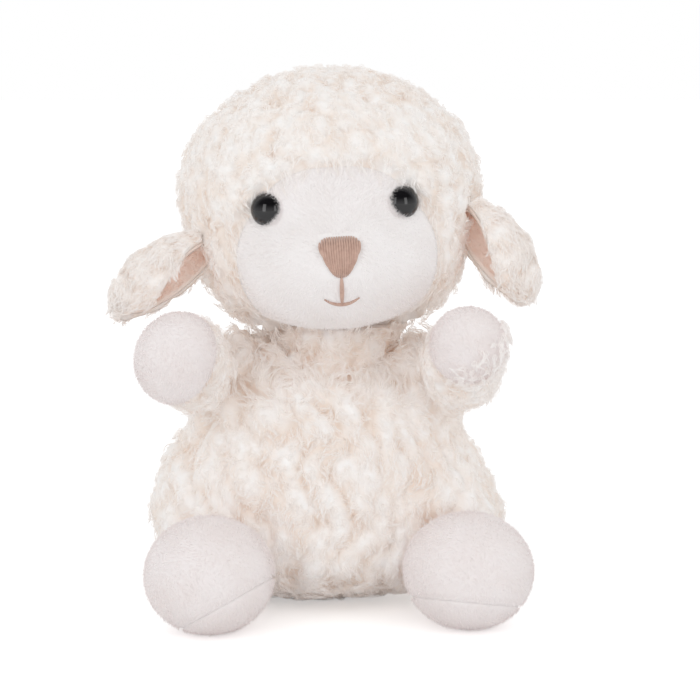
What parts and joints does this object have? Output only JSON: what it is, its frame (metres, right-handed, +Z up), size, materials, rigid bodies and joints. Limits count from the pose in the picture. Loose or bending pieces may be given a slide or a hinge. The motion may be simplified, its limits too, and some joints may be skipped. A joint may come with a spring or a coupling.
{
  "type": "stuffed toy lamb",
  "caption": "Seated stuffed toy lamb with a curly fleece body and head, smooth plush face, paws and feet, folded hanging ears, black eyes and an embroidered nose.",
  "frame": {"origin": "on the floor, in the middle of the flat seat", "axes": "+Z up, the lamb faces -Y, its own left side is at +X"},
  "size_m": [0.1371, 0.1265, 0.1742],
  "materials": {
    "fleece": "long curly cream pile",
    "plush": "short smooth off-white pile",
    "ear_lining": "short smooth pinkish beige pile",
    "fibre": "white polyester fibre",
    "pellet_cloth": "plain cloth bag of plastic pellets",
    "eye": "polished black",
    "washer": "plain white",
    "thread": "brown embroidery thread"
  },
  "bodies": {
    "torso": {"body_fleece": "fleece", "body_stuffing": "fibre", "pellet_bag": "pellet_cloth"},
    "neck": {"neck_stuffing": "fibre"},
    "head": {"head_fleece": "fleece", "face_panel": "plush", "head_stuffing": "fibre", "left_eye": "eye", "right_eye": "eye", "left_eye_washer": "washer", "right_eye_washer": "washer", "nose_embroidery": "thread", "mouth_stitches": "thread"},
    "left_ear": {"left_ear_fleece": "fleece", "left_ear_lining": "ear_lining"},
    "right_ear": {"right_ear_fleece": "fleece", "right_ear_lining": "ear_lining"},
    "left_arm": {"left_arm_sleeve": "fleece", "left_paw": "plush", "left_arm_stuffing": "fibre"},
    "right_arm": {"right_arm_sleeve": "fleece", "right_paw": "plush", "right_arm_stuffing": "fibre"},
    "left_leg": {"left_foot_upper": "plush", "left_foot_sole": "plush", "left_foot_stuffing": "fibre"},
    "right_leg": {"right_foot_upper": "plush", "right_foot_sole": "plush", "right_foot_stuffing": "fibre"},
    "tail": {"tail_fleece": "fleece"}
  },
  "joints": [
    {"name": "head_turn", "type": "hinge", "parent": "torso", "child": "neck", "pos_m": [0.0025, 0, 0.084], "axis": [0, 0, 1], "range_deg": [-12, 12], "stiffness_Nm_per_rad": 0.3},
    {"name": "head_nod", "type": "hinge", "parent": "neck", "child": "head", "pos_m": [0.0025, 0, 0.084], "axis": [-1, 0, 0], "range_deg": [-10, 12], "stiffness_Nm_per_rad": 0.3},
    {"name": "left_ear_lift", "type": "hinge", "parent": "head", "child": "left_ear", "pos_m": [0.04437, -0.01483, 0.13221], "axis": [-0.2584, -0.9659, -0.0162], "range_deg": [-5, 35], "stiffness_Nm_per_rad": 0.02},
    {"name": "right_ear_lift", "type": "hinge", "parent": "head", "child": "right_ear", "pos_m": [-0.04033, -0.01927, 0.12076], "axis": [-0.358, 0.9336, -0.0162], "range_deg": [-5, 35], "stiffness_Nm_per_rad": 0.02},
    {"name": "left_arm_raise", "type": "hinge", "parent": "torso", "child": "left_arm", "pos_m": [0.041, -0.012, 0.073], "axis": [-1, 0, 0], "range_deg": [-35, 15], "stiffness_Nm_per_rad": 0.08},
    {"name": "right_arm_raise", "type": "hinge", "parent": "torso", "child": "right_arm", "pos_m": [-0.041, -0.012, 0.073], "axis": [-1, 0, 0], "range_deg": [-35, 15], "stiffness_Nm_per_rad": 0.08},
    {"name": "left_leg_raise", "type": "hinge", "parent": "torso", "child": "left_leg", "pos_m": [0.037, -0.015, 0.019], "axis": [-1, 0, 0], "range_deg": [-8, 18], "stiffness_Nm_per_rad": 0.15},
    {"name": "right_leg_raise", "type": "hinge", "parent": "torso", "child": "right_leg", "pos_m": [-0.037, -0.021, 0.019], "axis": [-1, 0, 0], "range_deg": [-8, 18], "stiffness_Nm_per_rad": 0.15},
    {"name": "tail_lift", "type": "hinge", "parent": "torso", "child": "tail", "pos_m": [0, 0.041, 0.036], "axis": [1, 0, 0], "range_deg": [-8, 30], "stiffness_Nm_per_rad": 0.02}
  ]
}
